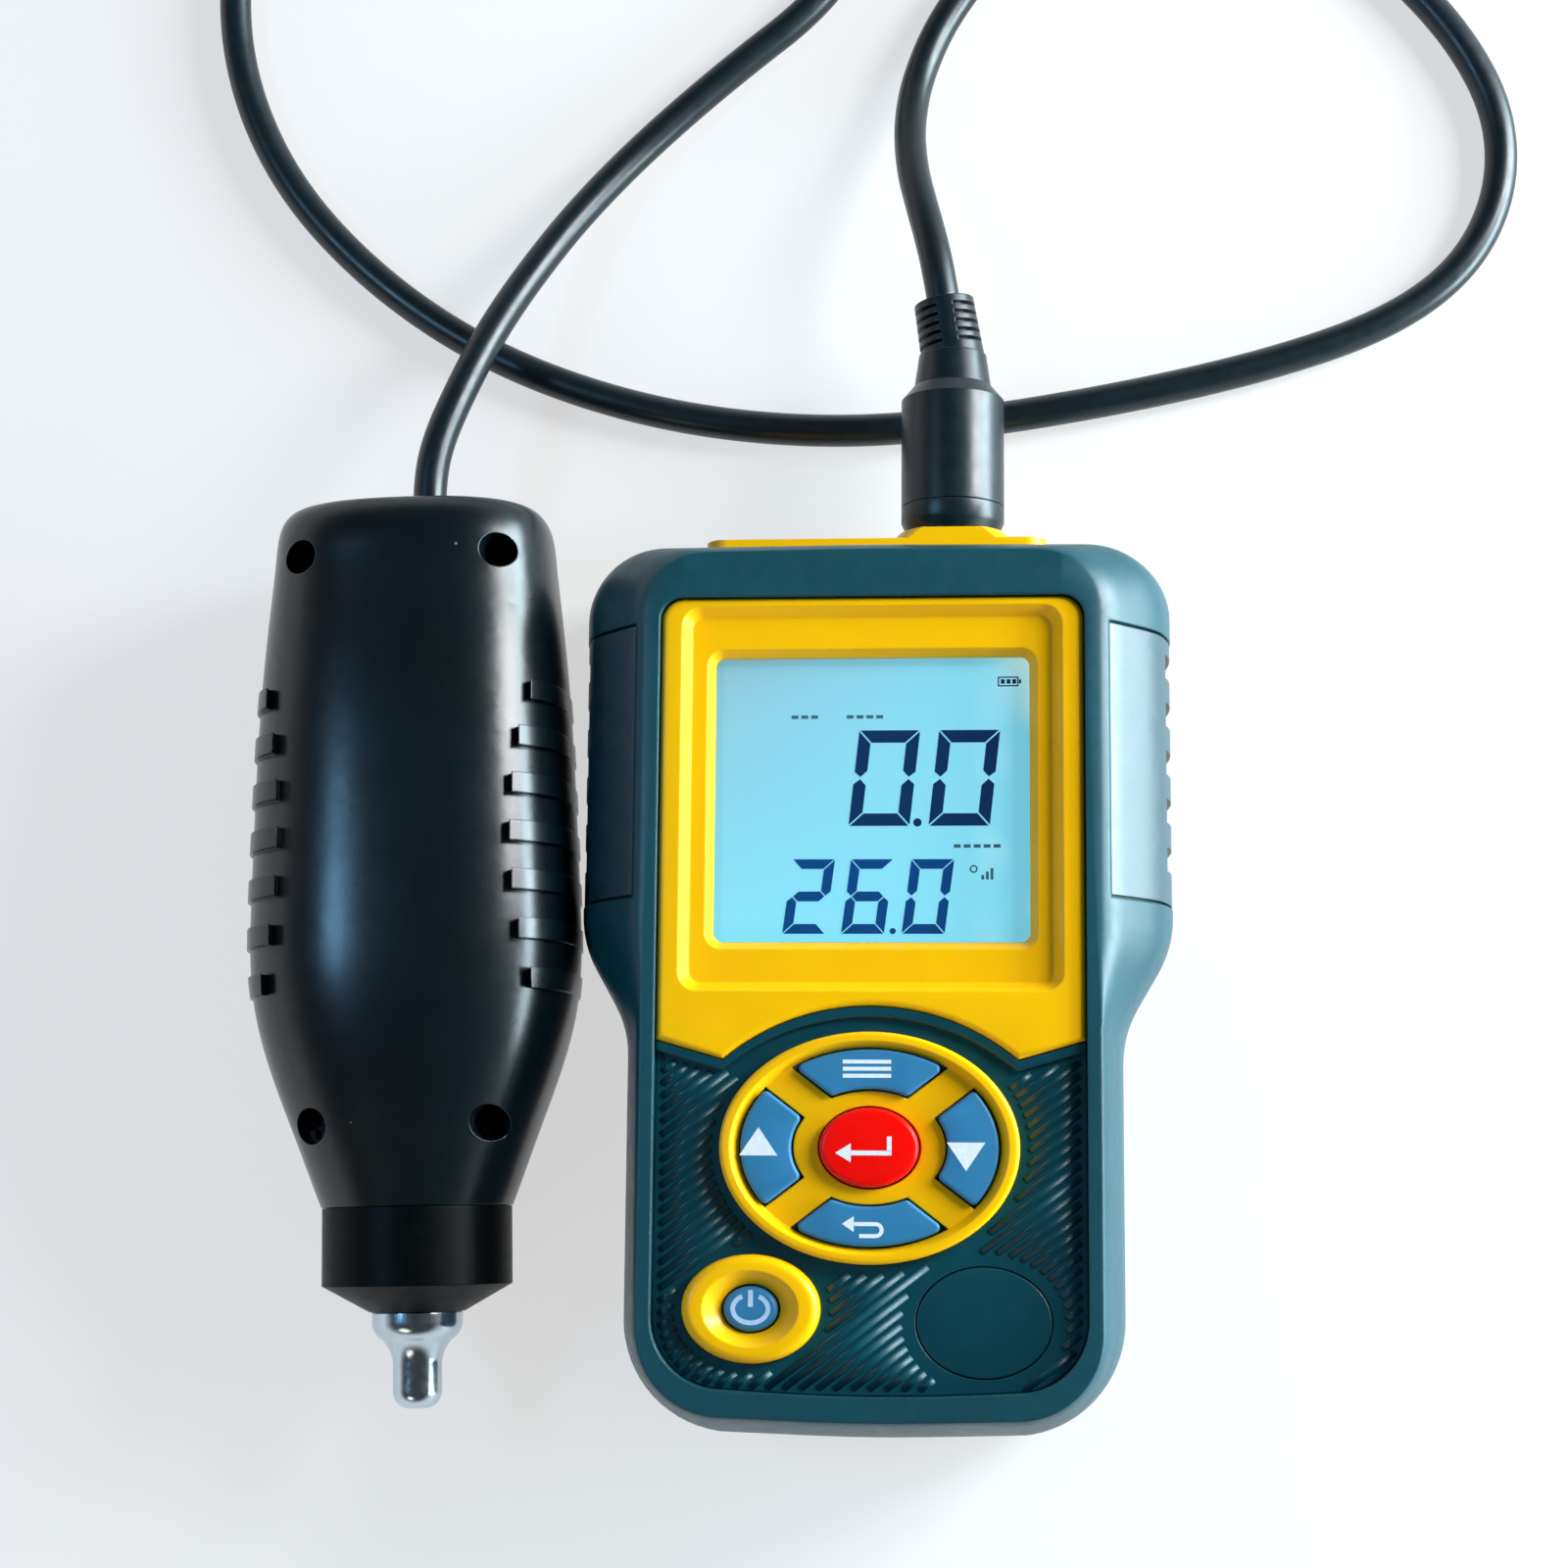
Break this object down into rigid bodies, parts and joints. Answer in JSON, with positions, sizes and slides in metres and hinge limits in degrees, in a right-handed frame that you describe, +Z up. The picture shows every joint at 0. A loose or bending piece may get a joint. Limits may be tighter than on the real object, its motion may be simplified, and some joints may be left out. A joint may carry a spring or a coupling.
{
  "type": "vibration meter",
  "caption": "Handheld vibration meter with a rubber boot, display and keypad, wired to a separate ribbed hand probe with a steel measuring tip.",
  "frame": {"origin": "centre of the meter's flat back, which rests on the table", "axes": "+X across the meter's face, +Y along it towards the socket, +Z up out of its face"},
  "size_m": [0.1896, 0.2786, 0.0367],
  "materials": {
    "boot_rubber": "moulded, satin",
    "grip_rubber": "moulded, satin",
    "case_plastic": "fine spark texture",
    "yellow_plastic": "smooth, semi-gloss",
    "panel_plastic": "fine ridges, semi-gloss",
    "key_blue": "smooth satin",
    "key_red": "smooth",
    "lens_clear": "polished",
    "display_glass": "smooth",
    "light_guide": "smooth",
    "board_green": "laminate",
    "silicone_grey": "smooth",
    "black_plastic": "satin",
    "probe_plastic": "satin",
    "black_cable": "semi-gloss sheath",
    "steel": "turned",
    "bright_steel": "polished",
    "black_steel": "blackened",
    "nickel_contact": "nickel plated",
    "cell_jacket": "plain jacket"
  },
  "bodies": {
    "meter": {"rubber_boot": "boot_rubber", "grip_right": "grip_rubber", "grip_left": "grip_rubber", "front_shell": "case_plastic", "back_shell": "case_plastic", "top_end_plate": "yellow_plastic", "bottom_end_plate": "case_plastic", "display_bezel": "yellow_plastic", "display_lens": "lens_clear", "key_panel": "panel_plastic", "blank_cap": "panel_plastic", "keypad_ring": "yellow_plastic", "power_ring": "yellow_plastic", "keypad_mat": "silicone_grey", "display_module": "display_glass", "display_backlight": "light_guide", "main_board": "board_green", "buzzer": "black_plastic", "case_screws": "steel", "battery_1": "cell_jacket", "battery_2": "cell_jacket", "battery_3": "cell_jacket", "battery_contacts": "nickel_contact", "battery_springs": "nickel_contact", "din_socket": "black_plastic", "socket_nut": "steel", "cable_plug_side": "black_cable", "cable_probe_side": "black_cable", "cable_coil": "black_cable", "cable_tie": "black_plastic"},
    "menu_key": {"key_menu": "key_blue"},
    "escape_key": {"key_escape": "key_blue"},
    "up_key": {"key_up": "key_blue"},
    "down_key": {"key_down": "key_blue"},
    "enter_key": {"key_enter": "key_red"},
    "power_key": {"key_power": "key_blue"},
    "door": {"battery_door": "case_plastic"},
    "plug": {"plug_body": "black_plastic", "plug_ring": "black_plastic", "plug_shroud": "bright_steel", "plug_insert": "black_plastic", "plug_pins": "nickel_contact", "strain_relief": "black_cable"},
    "probe": {"probe_front_shell": "probe_plastic", "probe_rear_shell": "probe_plastic", "probe_screws": "black_steel", "probe_nose": "probe_plastic", "accelerometer": "steel", "probe_board": "board_green", "cable_grommet": "black_cable"},
    "tip": {"measuring_tip": "bright_steel"}
  },
  "joints": [
    {"name": "menu_key_press", "type": "slide", "parent": "meter", "child": "menu_key", "axis": [0, 0, -1], "range_m": [0, 0.0008], "stiffness_N_per_m": 400, "deforming": ["keypad_mat"]},
    {"name": "escape_key_press", "type": "slide", "parent": "meter", "child": "escape_key", "axis": [0, 0, -1], "range_m": [0, 0.0008], "stiffness_N_per_m": 400, "deforming": ["keypad_mat"]},
    {"name": "up_key_press", "type": "slide", "parent": "meter", "child": "up_key", "axis": [0, 0, -1], "range_m": [0, 0.0008], "stiffness_N_per_m": 400, "deforming": ["keypad_mat"]},
    {"name": "down_key_press", "type": "slide", "parent": "meter", "child": "down_key", "axis": [0, 0, -1], "range_m": [0, 0.0008], "stiffness_N_per_m": 400, "deforming": ["keypad_mat"]},
    {"name": "enter_key_press", "type": "slide", "parent": "meter", "child": "enter_key", "axis": [0, 0, -1], "range_m": [0, 0.0008], "stiffness_N_per_m": 400, "deforming": ["keypad_mat"]},
    {"name": "power_key_press", "type": "slide", "parent": "meter", "child": "power_key", "axis": [0, 0, -1], "range_m": [0, 0.0008], "stiffness_N_per_m": 400, "deforming": ["keypad_mat"]},
    {"name": "battery_door_slide", "type": "slide", "parent": "meter", "child": "door", "axis": [0, -1, 0], "range_m": [0, 0.012]},
    {"name": "plug_pull", "type": "slide", "parent": "meter", "child": "plug", "axis": [0, 1, 0], "range_m": [0, 0.012], "deforming": ["cable_plug_side"]},
    {"name": "probe_lift", "type": "slide", "parent": "meter", "child": "probe", "axis": [0, 0, 1], "range_m": [0, 0.045], "deforming": ["cable_probe_side"]},
    {"name": "tip_unscrew", "type": "slide", "parent": "probe", "child": "tip", "axis": [0.0279, -0.9996, 0], "range_m": [0, 0.008]}
  ]
}
